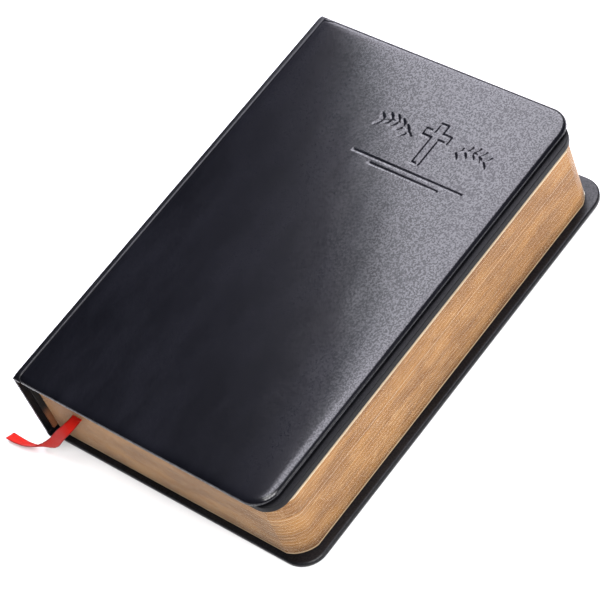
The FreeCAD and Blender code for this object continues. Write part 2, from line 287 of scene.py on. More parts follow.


# shared by both gilts: how lines and clouds mix, the scratches, and the painted shade that darkens the edges
# near the back cover
giltValues = {
    "specular": 0.12, "lines": 0.6, "clouds": 0.5, "cloudScale": 42.0, "mix": (0.43, 0.66),
    "scratchTurn": (0.7, 0.5, 0.0), "scratchScale": (30.0, 26.0, 120.0), "scratchWidth": 0.012,
    "patchScale": 24.0, "patches": (0.48, 0.62), "scratches": 0.35, "rough": (0.38, 0.6),
    "paintedLowShadeFrom": 1.0 * mm, "paintedLowShadeTo": 9.0 * mm, "paintedLowShadeWander": 6.0 * mm, "paintedLowShade": 0.6,
}


def makeGilt(name, looks, values, low):
    material, tree, shader, coordinates = startMaterial(
        name, {"Metallic": looks["metal"], "Specular IOR Level": values["specular"]})
    vector = coordinates.outputs["Object"]
    lines = noiseNode(tree, stretch(tree, vector, (14.0, 14.0, looks["linesPerMetre"])), 1.0, 4.0, 0.65)
    clouds = noiseNode(tree, stretch(tree, vector, (1.0, 1.0, 3.0)), values["cloudScale"], 5.0, 0.6)
    fromLines = mathNode(tree, "MULTIPLY", lines, values["lines"])
    fromClouds = mathNode(tree, "MULTIPLY", clouds, values["clouds"])
    both = spread(tree, mathNode(tree, "ADD", fromLines, fromClouds), *values["mix"])
    colour = blendColours(tree, both, looks["deep"], looks["pale"])
    # scratches: thin contours of a slanted noise, kept in patches
    slanted = node(tree, "ShaderNodeMapping", {}, {"Vector": vector, "Rotation": values["scratchTurn"],
                                                   "Scale": values["scratchScale"]}).outputs["Vector"]
    contour = awayFrom(tree, noiseNode(tree, slanted, 1.0, 2.0))
    scratch = spread(tree, contour, 0.0, values["scratchWidth"], 1.0, 0.0)
    patch = spread(tree, noiseNode(tree, vector, values["patchScale"], 2.0), *values["patches"])
    share = mathNode(tree, "MULTIPLY", mathNode(tree, "MULTIPLY", scratch, patch), values["scratches"])
    colour = blendColours(tree, share, colour, looks["worn"])
    # painted shade: the edges darken towards the back cover, with a wandering boundary
    height = node(tree, "ShaderNodeSeparateXYZ", {}, {0: vector}).outputs["Z"]
    wandered = mathNode(tree, "ADD", height, mathNode(tree, "MULTIPLY", clouds, values["paintedLowShadeWander"]))
    paintedLowShade = spread(tree, wandered, low + values["paintedLowShadeFrom"], low + values["paintedLowShadeTo"], values["paintedLowShade"], 0.0)
    colour = blendColours(tree, paintedLowShade, colour, looks["low"])
    tree.links.new(colour, shader.inputs["Base Color"])
    tree.links.new(spread(tree, lines, 0.3, 0.7, *values["rough"]), shader.inputs["Roughness"])
    cut = mathNode(tree, "SUBTRACT", lines, share)
    bumpInto(tree, shader, cut, looks["depth"])
    return material


paperLooks = {
    "leafPaper": {"dark": (0.74, 0.69, 0.58, 1), "light": (0.84, 0.80, 0.70, 1), "fibres": 1100.0,
                  "depth": 0.02 * mm, "rough": (0.75, 0.9)},
    "endPaper": {"dark": (0.80, 0.76, 0.67, 1), "light": (0.88, 0.85, 0.77, 1), "fibres": 900.0,
                 "depth": 0.025 * mm, "rough": (0.7, 0.88)},
    "flyPaper": {"dark": (0.50, 0.40, 0.28, 1), "light": (0.60, 0.49, 0.35, 1), "fibres": 1000.0,
                 "depth": 0.02 * mm, "rough": (0.75, 0.9)},
    # kraftPaper: its dark colour above a height is painted shade from the front cover
    "kraftPaper": {"dark": (0.20, 0.070, 0.028, 1), "light": (0.34, 0.135, 0.058, 1), "fibres": 700.0,
                   "depth": 0.03 * mm, "rough": (0.7, 0.9), "paintedShadeFrom": 10.0 * mm, "paintedShadeTo": 19.0 * mm,
                   "paintedShade": (0.010, 0.008, 0.007, 1)},
    # painted shade: the hollow tube's paper is near-black, standing in for the shade inside the spine's
    # hollow
    "tubePaperPaintedShade": {"dark": (0.020, 0.015, 0.012, 1), "light": (0.045, 0.034, 0.026, 1), "fibres": 700.0,
                  "depth": 0.03 * mm, "rough": (0.8, 0.95)},
    "greyBoard": {"dark": (0.22, 0.20, 0.18, 1), "light": (0.34, 0.31, 0.28, 1), "fibres": 520.0,
                  "depth": 0.06 * mm, "rough": (0.8, 0.95)},
    "padFoam": {"dark": (0.62, 0.58, 0.44, 1), "light": (0.76, 0.72, 0.58, 1), "fibres": 1500.0,
                "depth": 0.12 * mm, "rough": (0.85, 0.98)},
}


paperSpecular = 0.3


def makePaper(name, looks):
    material, tree, shader, coordinates = startMaterial(name, {"Specular IOR Level": paperSpecular})
    fibre = place(tree, fibreGroup, {"Vector": coordinates.outputs["Object"],
                                     "Fibres Per Metre": looks["fibres"]})
    colour = blendColours(tree, fibre.outputs["Fleck"], looks["dark"], looks["light"])
    if "paintedShade" in looks:     # painted shade: the strip in the spine is darkened above a height, towards the front cover, where the cover shades it
        height = node(tree, "ShaderNodeSeparateXYZ", {}, {0: coordinates.outputs["Object"]}).outputs["Z"]
        paintedShade = spread(tree, height, looks["paintedShadeFrom"], looks["paintedShadeTo"])
        colour = blendColours(tree, paintedShade, colour, looks["paintedShade"])
    tree.links.new(colour, shader.inputs["Base Color"])
    rough = spread(tree, fibre.outputs["Height"], 0.3, 0.7, *looks["rough"])
    tree.links.new(rough, shader.inputs["Roughness"])
    bumpInto(tree, shader, fibre.outputs["Height"], looks["depth"])
    return material


clothLooks = {
    "gauze": {"dark": (0.50, 0.47, 0.38, 1), "light": (0.80, 0.77, 0.66, 1), "threads": 900.0,
              "depth": 0.10 * mm},
    "linenTape": {"dark": (0.48, 0.42, 0.31, 1), "light": (0.76, 0.70, 0.56, 1), "threads": 1400.0,
                  "depth": 0.08 * mm},
    "waxedThread": {"dark": (0.55, 0.50, 0.40, 1), "light": (0.82, 0.78, 0.68, 1), "threads": 2600.0,
                    "depth": 0.12 * mm},
}


clothSurface = {"Roughness": 0.85, "Specular IOR Level": 0.2}


def makeCloth(name, looks):
    material, tree, shader, coordinates = startMaterial(name, clothSurface)
    parts = node(tree, "ShaderNodeSeparateXYZ", {}, {0: coordinates.outputs["Object"]})
    weave = place(tree, weaveGroup, {"Across": parts.outputs["Y"], "Along": parts.outputs["Z"],
                                     "Across Count": looks["threads"], "Along Count": looks["threads"]})
    colour = blendColours(tree, weave.outputs["Height"], looks["dark"], looks["light"])
    tree.links.new(colour, shader.inputs["Base Color"])
    bumpInto(tree, shader, weave.outputs["Height"], looks["depth"])
    return material


satinLooks = {"dark": (0.24, 0.005, 0.003, 1), "light": (0.50, 0.013, 0.007, 1),
              "edge": (0.20, 0.004, 0.003, 1), "edgeFrom": 0.40, "edgeTo": 0.49, "edgeShare": 0.85,
              "specular": 0.06, "weaveShare": 0.35, "tone": (0.35, 0.8), "rough": (0.42, 0.58),
              "depth": 0.05 * mm}
# where each ribbon's weave is read, its threads across, its ribs along and its strands' scale:
# by width and length on its own map, and by the metre on the object
satinCounts = {"redSatin": ("UV", 14.0, 70.0, (6.0, 60.0, 1.0)),
               "redSatinMarker": ("Object", 2800.0, 1320.0, (12000.0, 110.0, 1.0))}


def makeSatin(name, looks, coordinate, threads, ribs, strandScale):
    material, tree, shader, coordinates = startMaterial(name, {"Specular IOR Level": looks["specular"]})
    vector = coordinates.outputs[coordinate]
    parts = node(tree, "ShaderNodeSeparateXYZ", {}, {0: vector})
    ownMap = coordinate == "UV"
    across = parts.outputs["Y" if ownMap else "X"]
    along = parts.outputs["X" if ownMap else "Y"]
    weave = place(tree, weaveGroup, {"Across": across, "Along": along,
                                     "Across Count": threads, "Along Count": ribs})
    strands = noiseNode(tree, stretch(tree, vector, strandScale), 1.0, 4.0, 0.6)
    woven = mathNode(tree, "MULTIPLY", weave.outputs["Height"], looks["weaveShare"])
    tone = spread(tree, mathNode(tree, "ADD", woven, strands), *looks["tone"])
    colour = blendColours(tree, tone, looks["dark"], looks["light"])
    if ownMap:
        fromMiddle = awayFrom(tree, across)
        edge = spread(tree, fromMiddle, looks["edgeFrom"], looks["edgeTo"], 0.0, looks["edgeShare"])
        colour = blendColours(tree, edge, colour, looks["edge"])
    tree.links.new(colour, shader.inputs["Base Color"])
    tree.links.new(spread(tree, strands, 0.3, 0.7, *looks["rough"]), shader.inputs["Roughness"])
    bumpInto(tree, shader, weave.outputs["Height"], looks["depth"])
    return material


leather = {name: makeLeather(name, looks) for name, looks in leatherLooks.items()}
paper = {name: makePaper(name, looks) for name, looks in paperLooks.items()}
cloth = {name: makeCloth(name, looks) for name, looks in clothLooks.items()}
satin = {name: makeSatin(name, satinLooks, *counts) for name, counts in satinCounts.items()}
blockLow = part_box("section_16")[0].z
gilt = {name: makeGilt(name, looks, giltValues, blockLow) for name, looks in giltLooks.items()}
print("materials made")


# Mesh helpers
def finishMesh(name, work, material, body, replaced=(), smooth=True):
    bmesh.ops.remove_doubles(work, verts=work.verts, dist=1e-7)
    bmesh.ops.recalc_face_normals(work, faces=work.faces)
    mesh = bpy.data.meshes.new(name)
    work.to_mesh(mesh)
    work.free()
    for face in mesh.polygons:
        face.use_smooth = smooth
    mesh.materials.append(material)
    piece = bpy.data.objects.new(name, mesh)
    scene.collection.objects.link(piece)
    if replaced:
        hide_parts(*replaced)
    if body:
        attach(piece, body)
    return piece


def cornerArc(centre, radius, fromAngle, steps):
    turns = [math.radians(fromAngle + 90.0 * step / steps) for step in range(steps + 1)]
    return [(centre[0] + radius * math.cos(turn), centre[1] + radius * math.sin(turn)) for turn in turns]


# One closed outline, anticlockwise: straight sides at the given stops, and an arc at each corner.
# Past a corner's radius the arc shrinks to a point, so every outline has the same count of points
def roundedRing(low, high, inset, spineInset, foreRadius, spineRadius, xStops, yStops, steps=10):
    left, right = low.x + spineInset, high.x - inset
    tail, head = low.y + inset, high.y - inset
    fore = max(foreRadius - inset, 0.0)
    back = max(spineRadius - inset, 0.0)
    points = [(x, tail) for x in xStops]
    points += cornerArc((right - fore, tail + fore), fore, -90.0, steps)
    points += [(right, y) for y in yStops]
    points += cornerArc((right - fore, head - fore), fore, 0.0, steps)
    points += [(x, head) for x in reversed(xStops)]
    points += cornerArc((left + back, head - back), back, 90.0, steps)
    points += [(left, y) for y in reversed(yStops)]
    points += cornerArc((left + back, tail + back), back, 180.0, steps)
    return points


def joinRings(work, first, second):
    count = len(first)
    for index in range(count):
        after = (index + 1) % count
        work.faces.new((first[index], first[after], second[after], second[index]))


def stops(low, high, pitch):
    count = max(1, round((high - low) / pitch))
    return [low + (high - low) * step / count for step in range(count + 1)]


# A flat wrapped board: every edge rounded, square or round corners
wrapMesh = {"arcSteps": 5, "pitch": 6.0 * mm, "flatInset": 1.6}


def makeWrappedBoard(name, low, high, values, material, body, replaced):
    work = bmesh.new()
    edge, arcSteps = values["edge"], wrapMesh["arcSteps"]
    turns = [math.radians(90.0 * step / arcSteps) for step in range(arcSteps + 1)]
    profile = [(edge * (1 - math.cos(t)), low.z + edge * (1 - math.sin(t))) for t in reversed(turns)]
    profile += [(edge * (1 - math.cos(t)), high.z - edge * (1 - math.sin(t))) for t in turns]
    flat = edge * wrapMesh["flatInset"]
    profile = [(flat, low.z)] + profile + [(flat, high.z)]
    reach = max(values["foreRadius"], values["spineRadius"])
    xStops = stops(low.x + reach, high.x - reach, wrapMesh["pitch"])
    yStops = stops(low.y + reach, high.y - reach, wrapMesh["pitch"])
    rings = []
    for inset, z in profile:
        outline = roundedRing(low, high, inset, inset * values["spineShare"], values["foreRadius"],
                              values["spineRadius"], xStops, yStops)
        rings.append([work.verts.new((x, y, z)) for x, y in outline])
    for first, second in zip(rings, rings[1:]):
        joinRings(work, first, second)
    work.faces.new(list(reversed(rings[0])))
    work.faces.new(rings[-1])
    return finishMesh(name, work, material, body, replaced)


# Ribbon: its free end first, since its route is fixed with the frame
ribbonValues = {
    "width": 5.0 * mm, "thickness": 0.28 * mm, "length": 0.0533, "columns": 8,
    "curl": 0.16 * mm, "slant": 0.35 * mm,
    # metres in the frame, from the leaves' tail edge down to the table
    "route": [(-0.04435, -0.0995, 0.0263), (-0.04455, -0.1023, 0.0261), (-0.04635, -0.1049, 0.0243),
              (-0.05055, -0.1065, 0.0196), (-0.05815, -0.1075, 0.0094), (-0.06675, -0.1093, 0.0038),
              (-0.07555, -0.1109, 0.0018), (-0.08415, -0.1105, 0.0016)],
    # share of the length, and how far the ribbon's face has turned from facing the tail to facing up
    "turns": [(0.0, 90.0), (0.12, 52.0), (0.26, 26.0), (0.38, 6.0), (0.50, -14.0), (0.57, -26.0),
              (0.68, -44.0), (1.0, -64.0)],
}


def centreLine(points):
    curve = bpy.data.curves.new("ribbonRoute", "CURVE")
    curve.dimensions = "3D"
    curve.resolution_u = 16
    spline = curve.splines.new("NURBS")
    spline.points.add(len(points) - 1)
    for point, spot in zip(spline.points, points):
        point.co = (*spot, 1.0)
    spline.order_u = 3
    spline.use_endpoint_u = True
    holder = bpy.data.objects.new("ribbonRoute", curve)
    scene.collection.objects.link(holder)
    mesh = bpy.data.meshes.new_from_object(holder)
    found = [vertex.co.copy() for vertex in mesh.vertices]
    bpy.data.objects.remove(holder)
    bpy.data.curves.remove(curve)
    bpy.data.meshes.remove(mesh)
    return found


def readOff(pairs, share):
    for (fromShare, fromValue), (toShare, toValue) in zip(pairs, pairs[1:]):
        if share <= toShare:
            local = (share - fromShare) / (toShare - fromShare)
            return fromValue + (toValue - fromValue) * local * local * (3 - 2 * local)
    return pairs[-1][1]


def makeRibbonTail(values):
    line = centreLine(values["route"])
    gone = [0.0]
    for before, after in zip(line, line[1:]):
        gone.append(gone[-1] + (after - before).length)
    work = bmesh.new()
    layer = work.loops.layers.uv.new("UVMap")
    columns = values["columns"]
    rows = []
    places = {}
    for index, spot in enumerate(line):
        share = gone[index] / gone[-1]
        tangent = (line[min(index + 1, len(line) - 1)] - line[max(index - 1, 0)]).normalized()
        turn = math.radians(readOff(values["turns"], share))
        face = Vector((0.0, -math.cos(turn), math.sin(turn)))
        face = (face - tangent * face.dot(tangent)).normalized()
        side = tangent.cross(face)
        row = []
        for sheetSide in (1, -1):
            for column in range(columns + 1):
                across = column / columns
                offset = (across - 0.5) * values["width"]
                lift = values["curl"] * math.sin(math.pi * across) * min(1.0, share * 4)
                end = values["slant"] * (0.5 - across) if index == len(line) - 1 else 0.0
                height = lift + sheetSide * values["thickness"] / 2
                vertex = work.verts.new(spot + side * offset + face * height + tangent * end)
                places[vertex] = (share, across)
                row.append(vertex)
        rows.append(row[:columns + 1] + list(reversed(row[columns + 1:])))
    for first, second in zip(rows, rows[1:]):
        joinRings(work, first, second)
    work.faces.new(list(reversed(rows[0])))
    work.faces.new(rows[-1])
    for face in work.faces:
        for loop in face.loops:
            loop[layer].uv = places[loop.vert]
    piece = finishMesh("ribbon_free_end", work, satin["redSatin"], "text_block",
                       ["ribbon_tail"])
    return gone[-1]


ribbonLength = makeRibbonTail(ribbonValues)
print("ribbon: measured", round(ribbonLength * 1000, 1), "mm")

# Ornament pressed into the front cover: a plain outlined cross between two sprigs, over two rules
ornamentValues = {
    "centre": (0.0165, 0.0650), "depth": 0.30 * mm, "line": 0.42 * mm, "soft": 0.38 * mm,
    "crossHeight": 21.0 * mm, "crossArm": 6.2 * mm, "crossWidth": 3.4 * mm, "armRise": 4.6 * mm,
    "sprigReach": 26.0 * mm, "sprigStart": 9.5 * mm, "sprigRise": 4.0 * mm, "leaves": 5,
    "leafLength": 4.4 * mm, "leafWidth": 0.85 * mm, "leafLean": (0.72, 0.7), "leafRoot": 0.15,
    "stemSteps": 6, "stemLine": 0.6, "stemCurve": 0.9, "halfWidth": 32.0 * mm, "halfHeight": 21.0 * mm,
    "rules": ((-15.5 * mm, 27.0 * mm), (-18.3 * mm, 17.0 * mm)), "ruleWidth": 0.30 * mm,
}


# Distance outside a stroke; a leaf's stroke swells from a point at its root to a point at its tip
def outsideStroke(point, start, end, width, isLeaf):
    along = end - start
    share = max(0.0, min(1.0, (point - start).dot(along) / along.length_squared))
    swollen = 1.6 * math.sqrt(share) * (1 - share) ** 0.8 if isLeaf else 1.0
    return (point - start - along * share).length - width * swollen


def boxDistance(point, centre, half):
    x = abs(point.x - centre.x) - half.x
    y = abs(point.y - centre.y) - half.y
    return math.hypot(max(x, 0.0), max(y, 0.0)) + min(max(x, y), 0.0)


def sprigStrokes(values):
    strokes = []
    for side in (-1, 1):
        def stem(share):
            x = values["sprigStart"] + (values["sprigReach"] - values["sprigStart"]) * share
            return Vector((side * x, values["sprigRise"] * math.sin(share * math.pi * values["stemCurve"])))
        steps = values["stemSteps"]
        for step in range(steps):
            strokes.append((stem(step / steps), stem((step + 1) / steps),
                            values["line"] * values["stemLine"], False))
        for leaf in range(values["leaves"]):
            root = stem((leaf + 0.6) / values["leaves"])
            for way in (-1, 1):
                lean = Vector((side * values["leafLean"][0], way * values["leafLean"][1]))
                tip = root + lean * values["leafLength"]
                strokes.append((root + (tip - root) * values["leafRoot"], tip, values["leafWidth"], True))
    for drop, half in values["rules"]:
        strokes.append((Vector((-half, drop)), Vector((half, drop)), values["ruleWidth"], False))
    return strokes


def makePress(values):
    centre = Vector(values["centre"])
    strokes = sprigStrokes(values)
    upright = Vector((values["crossWidth"] / 2, values["crossHeight"] / 2))
    arm = Vector((values["crossArm"], values["crossWidth"] / 2))
    armCentre = Vector((0.0, values["armRise"]))

    def press(x, y):
        point = Vector((x, y)) - centre
        if abs(point.x) > values["halfWidth"] or abs(point.y) > values["halfHeight"]:
            return 0.0
        outer = min(boxDistance(point, Vector((0.0, 0.0)), upright), boxDistance(point, armCentre, arm))
        gap = abs(outer) - values["line"]
        for stroke in strokes:
            gap = min(gap, outsideStroke(point, *stroke))
        share = max(0.0, min(1.0, 0.5 - gap / values["soft"]))
        return values["depth"] * share * share * (3 - 2 * share)
    return press


# Front cover's padded panel
panelValues = {
    "foreRadius": 10.5 * mm, "spineRadius": 1.5 * mm, "inner": 12.0 * mm, "spineInner": 5.0 * mm,
    "crown": 0.30 * mm, "wave": 0.055 * mm, "waveLength": 26.0 * mm, "coarse": 3.0 * mm, "fine": 0.45 * mm,
    "fineX": (-0.0165, 0.0495), "fineY": (0.0430, 0.0790), "ripple": 0.45, "rippleLength": 0.36,
    "spineDrop": 0.12, "rollFrom": 2.0,
    # inset from the edge and drop from the top, in millimetres, from under the rim to the flat
    "profile": [(3.0, 3.0), (0.9, 3.0), (0.35, 2.88), (0.08, 2.55), (0.0, 2.1), (0.05, 1.6), (0.25, 1.12),
                (0.62, 0.70), (1.15, 0.38), (1.9, 0.16), (2.9, 0.04), (4.4, 0.0), (6.5, -0.03), (9.0, -0.05),
                (12.0, -0.06)],
}


def makePaddedPanel(values):
    low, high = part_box("front_cover_leather")
    press = makePress(ornamentValues)
    inner, spineInner = values["inner"], values["spineInner"]
    xStops = (stops(low.x + spineInner, values["fineX"][0], values["coarse"])[:-1]
              + stops(*values["fineX"], values["fine"])[:-1]
              + stops(values["fineX"][1], high.x - inner, values["coarse"]))
    yStops = (stops(low.y + inner, values["fineY"][0], values["coarse"])[:-1]
              + stops(*values["fineY"], values["fine"])[:-1]
              + stops(values["fineY"][1], high.y - inner, values["coarse"]))

    def swell(x, y):
        across = 2 * (x - low.x) / (high.x - low.x) - 1
        along = 2 * (y - low.y) / (high.y - low.y) - 1
        body = max(0.0, (1 - across ** 4)) * max(0.0, (1 - along ** 4))
        ripple = noise.noise(Vector((x, y * 0.6, 0.37)) / values["waveLength"])
        finer = values["waveLength"] * values["rippleLength"]
        ripple += values["ripple"] * noise.noise(Vector((x, y * 0.7, 1.9)) / finer)
        return body * (values["crown"] + values["wave"] * ripple)

    work = bmesh.new()
    rings = []
    flat = values["profile"][-1]
    rollFrom = values["rollFrom"]
    for inset, drop in values["profile"]:
        spineInset = 0.0
        if drop < 0.3:
            spineInset = max(0.0, inset - rollFrom) * mm * spineInner / (inner - rollFrom * mm)
        outline = roundedRing(low, high, inset * mm, spineInset, values["foreRadius"],
                              values["spineRadius"], xStops, yStops)
        ring = []
        for x, y in outline:
            # beside the joint the roll hardly drops, so that the panel meets the joint's top
            besideJoint = abs(x - low.x) < 1e-6 and 0.0 < drop < 0.5
            z = high.z - drop * mm * (values["spineDrop"] if besideJoint else 1.0)
            ring.append(work.verts.new((x, y, z + (swell(x, y) if drop < 0.5 else 0.0))))
        rings.append(ring)
    for first, second in zip(rings, rings[1:]):
        joinRings(work, first, second)
    work.faces.new(list(reversed(rings[0])))
    grid = [[work.verts.new((x, y, high.z - flat[1] * mm + swell(x, y) - press(x, y))) for x in xStops]
            for y in yStops]
    for lower, upper in zip(grid, grid[1:]):
        for column in range(len(xStops) - 1):
            work.faces.new((lower[column], lower[column + 1], upper[column + 1], upper[column]))
    piece = finishMesh("front_cover_padded_leather", work, leather["coverLeather"], "front_cover",
                       ["front_cover_leather"])
    return piece


panel = makePaddedPanel(panelValues)
print("padded cover:", len(panel.data.polygons), "faces")

# Boards wrapped in lining and leather
wrapValues = {
    "lining": {"edge": 0.35 * mm, "foreRadius": 9.0 * mm, "spineRadius": 0.9 * mm, "spineShare": 1.0},
    "back": {"edge": 0.95 * mm, "foreRadius": 10.5 * mm, "spineRadius": 1.0 * mm, "spineShare": 0.0},
}
boardLap = 0.05 * mm
liningLow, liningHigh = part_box("front_cover_lining")
makeWrappedBoard("front_cover_wrapped_lining", liningLow - Vector((0, 0, boardLap)), liningHigh,
                 wrapValues["lining"], leather["liningLeather"], "front_cover",
                 ["front_cover_lining"])
backLow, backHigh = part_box("back_cover_leather")
makeWrappedBoard("back_cover_wrapped_leather", backLow, backHigh + Vector((0, 0, boardLap)),
                 wrapValues["back"], leather["backLeather"], "back_cover",
                 ["back_cover_leather"])
print("wrapped boards made")

# Leather that bends beside each cover
jointValues = {"radius": 1.5 * mm, "skin": 0.9 * mm, "reach": 3.5 * mm, "arcSteps": 14,
               "endRoll": 2.9 * mm, "rollDepth": 1.5 * mm, "rollPower": 2.2, "pitch": 8.0 * mm,
               "near": (0.0, 0.25 * mm, 0.6 * mm, 1.1 * mm, 1.8 * mm, 2.9 * mm)}


def rollDrop(distance, values):
    local = max(0.0, 1 - distance / values["endRoll"])
    return values["rollDepth"] * local ** values["rollPower"]


def makeJoint(name, cadNode, isFront, values):
    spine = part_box("spine_leather")
    low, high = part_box(cadNode)
    outerX = spine[0].x
    radius, skin = values["radius"], values["skin"]
    axisX = outerX + radius
    axisZ = high.z - radius if isFront else low.z + radius
    way = 1.0 if isFront else -1.0
    topZ = axisZ + way * radius
    endZ = spine[1].z if isFront else spine[0].z
    turns = [math.radians(90.0 + 90.0 * step / values["arcSteps"]) for step in range(values["arcSteps"] + 1)]

    def edgeLine(offset):
        points = [(outerX + values["reach"], topZ - way * offset, 1.0),
                  (outerX + values["reach"] * 0.7, topZ - way * offset, 1.0)]
        for turn in turns:
            along = (radius - offset) * math.cos(turn)
            up = (radius - offset) * math.sin(turn)
            points.append((axisX + along, axisZ + way * up, math.sin(turn)))
        points.append((outerX + offset, (axisZ + endZ) / 2, 0.0))
        points.append((outerX + offset, endZ, 0.0))
        return points

    loop = edgeLine(0.0) + list(reversed(edgeLine(skin)))
    near, pitch = values["near"], values["pitch"]
    ySpots = [low.y + y for y in near]
    ySpots += stops(low.y + pitch, high.y - pitch, pitch)
    ySpots += [high.y - y for y in reversed(near)]
    work = bmesh.new()
    rows = []
    for y in ySpots:
        drop = rollDrop(min(y - low.y, high.y - y), values)
        rows.append([work.verts.new((x, y, z - way * drop * lift)) for x, z, lift in loop])
    for first, second in zip(rows, rows[1:]):
        joinRings(work, first, second)
    work.faces.new(list(reversed(rows[0])))
    work.faces.new(rows[-1])
    piece = finishMesh(name, work, leather["jointLeather"], None, [cadNode])
    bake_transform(piece)


makeJoint("front_joint_bending_leather", "front_joint_leather", True, jointValues)
makeJoint("back_joint_bending_leather", "back_joint_leather", False, jointValues)
print("joints made")

# Leaves: each section is a stack of separate leaves, laid by geometry nodes.
# fill closes most of the gap to the section above; under the ribbon the gap is wider, and the leaves
# that close it pass through the length of ribbon hidden in the block
leafValues = {"leaves": 12, "corner": 9.0 * mm, "bulge": 0.60, "share": 0.96, "jitter": 0.007 * mm,
              "fold": 0.85 * mm, "fill": 0.11 * mm, "underRibbon": "section_06", "ribbonFill": 0.30 * mm,
              "seed": 11, "paper": "leafPaper", "edge": "giltEdge", "slot": "gilt_leaves"}
flyleafValues = dict(leafValues, leaves=1, jitter=0.0, fold=0.1 * mm, fill=0.0, paper="flyPaper",
                     edge="giltFlyleafEdge", slot="endpaper")


# A corner cut flatter than a round, so that it meets the edges at a crease; bulge 0 is straight, 1 is round
def cutCorner(centre, radius, fromAngle, bulge, steps=8):
    curved = [Vector(point) for point in cornerArc(centre, radius, fromAngle, steps)]
    straight = [curved[0].lerp(curved[-1], step / steps) for step in range(steps + 1)]
    return [tuple(flat.lerp(arc, bulge)) for flat, arc in zip(straight, curved)]


def makeLeafMesh(width, length, thickness, corner, bulge, name):
    work = bmesh.new()
    half = length / 2
    outline = [(-width, -half)]
    outline += cutCorner((-corner, -half + corner), corner, -90.0, bulge)
    outline += cutCorner((-corner, half - corner), corner, 0.0, bulge)
    outline += [(-width, half)]
    under = [work.verts.new((x, y, 0.0)) for x, y in outline]
    over = [work.verts.new((x, y, thickness)) for x, y in outline]
    joinRings(work, under, over)
    work.faces.new(list(reversed(under)))
    work.faces.new(over)
    mesh = bpy.data.meshes.new(name)
    work.to_mesh(mesh)
    work.free()
    return mesh


def makeLeafTree():
    tree = bpy.data.node_groups.new("leafStack", "GeometryNodeTree")
    socket(tree, "Geometry", "NodeSocketGeometry", "INPUT")
    socket(tree, "Leaves", "NodeSocketInt", "INPUT", 12)
    socket(tree, "Pitch", "NodeSocketFloat", "INPUT", 0.00015)
    socket(tree, "Start", "NodeSocketVector", "INPUT")
    socket(tree, "Width", "NodeSocketFloat", "INPUT", 0.13)
    socket(tree, "Fold Radius", "NodeSocketFloat", "INPUT", 0.0008)
    socket(tree, "Stack Height", "NodeSocketFloat", "INPUT", 0.0019)
    socket(tree, "Jitter", "NodeSocketFloat", "INPUT", 0.00003)
    socket(tree, "Seed", "NodeSocketInt", "INPUT", 0)
    socket(tree, "Paper", "NodeSocketMaterial", "INPUT")
    socket(tree, "Gilt", "NodeSocketMaterial", "INPUT")
    socket(tree, "Geometry", "NodeSocketGeometry", "OUTPUT")
    entry = tree.nodes.new("NodeGroupInput")
    leave = tree.nodes.new("NodeGroupOutput")
    given = entry.outputs
    step = node(tree, "ShaderNodeCombineXYZ", {}, {"Z": given["Pitch"]}).outputs[0]
    line = node(tree, "GeometryNodeMeshLine", {"mode": "OFFSET"},
                {"Count": given["Leaves"], "Start Location": given["Start"], "Offset": step}).outputs["Mesh"]
    # the fold: leaves near the section's top and bottom start further in
    index = tree.nodes.new("GeometryNodeInputIndex").outputs[0]
    middle = mathNode(tree, "MULTIPLY", mathNode(tree, "SUBTRACT", given["Leaves"], 1.0), 0.5)
    away = mathNode(tree, "MULTIPLY", awayFrom(tree, index, middle), given["Pitch"])
    halfHeight = mathNode(tree, "MULTIPLY", given["Stack Height"], 0.5)
    flat = mathNode(tree, "SUBTRACT", halfHeight, given["Fold Radius"])
    past = mathNode(tree, "DIVIDE", mathNode(tree, "SUBTRACT", away, flat), given["Fold Radius"], True)
    squared = mathNode(tree, "MULTIPLY", past, past)
    arc = mathNode(tree, "SQRT", mathNode(tree, "SUBTRACT", 1.0, squared, True))
    cutBack = mathNode(tree, "MULTIPLY", mathNode(tree, "SUBTRACT", 1.0, arc), given["Fold Radius"])
    narrow = mathNode(tree, "SUBTRACT", 1.0, mathNode(tree, "DIVIDE", cutBack, given["Width"]))
    scale = node(tree, "ShaderNodeCombineXYZ", {}, {"X": narrow, "Y": 1.0, "Z": 1.0}).outputs[0]
    laid = node(tree, "GeometryNodeInstanceOnPoints", {},
                {"Points": line, "Instance": given["Geometry"], "Scale": scale}).outputs[0]
    backwards = mathNode(tree, "MULTIPLY", given["Jitter"], -1.0)
    lowest = node(tree, "ShaderNodeCombineXYZ", {}, {"X": backwards, "Y": backwards}).outputs[0]
    highest = node(tree, "ShaderNodeCombineXYZ", {}, {"X": 0.0, "Y": given["Jitter"]}).outputs[0]
    random = node(tree, "FunctionNodeRandomValue", {"data_type": "FLOAT_VECTOR"})
    tree.links.new(lowest, random.inputs["Min"])
    tree.links.new(highest, random.inputs["Max"])
    tree.links.new(given["Seed"], random.inputs["Seed"])
    shifts = {"Instances": laid, "Translation": random.outputs["Value"], "Local Space": False}
    moved = node(tree, "GeometryNodeTranslateInstances", {}, shifts).outputs[0]
    real = node(tree, "GeometryNodeRealizeInstances", {}, {"Geometry": moved}).outputs[0]
    papered = node(tree, "GeometryNodeSetMaterial", {},
                   {"Geometry": real, "Material": given["Paper"]}).outputs[0]
    # gilt on the leaves' edges, which face sideways, and paper on their faces
    facing = tree.nodes.new("GeometryNodeInputNormal").outputs[0]
    normal = node(tree, "ShaderNodeSeparateXYZ", {}, {0: facing})
    steep = node(tree, "FunctionNodeCompare", {"operation": "LESS_THAN"},
                 {0: mathNode(tree, "ABSOLUTE", normal.outputs["Z"]), 1: 0.5}).outputs[0]
    gilded = node(tree, "GeometryNodeSetMaterial", {},
                  {"Geometry": papered, "Selection": steep, "Material": given["Gilt"]}).outputs[0]
    tree.links.new(gilded, leave.inputs["Geometry"])
    return tree


def setInputs(modifier, tree, given):
    for item in tree.interface.items_tree:
        if item.item_type == "SOCKET" and item.in_out == "INPUT" and item.name in given:
            modifier[item.identifier] = given[item.name]


leafTree = makeLeafTree()


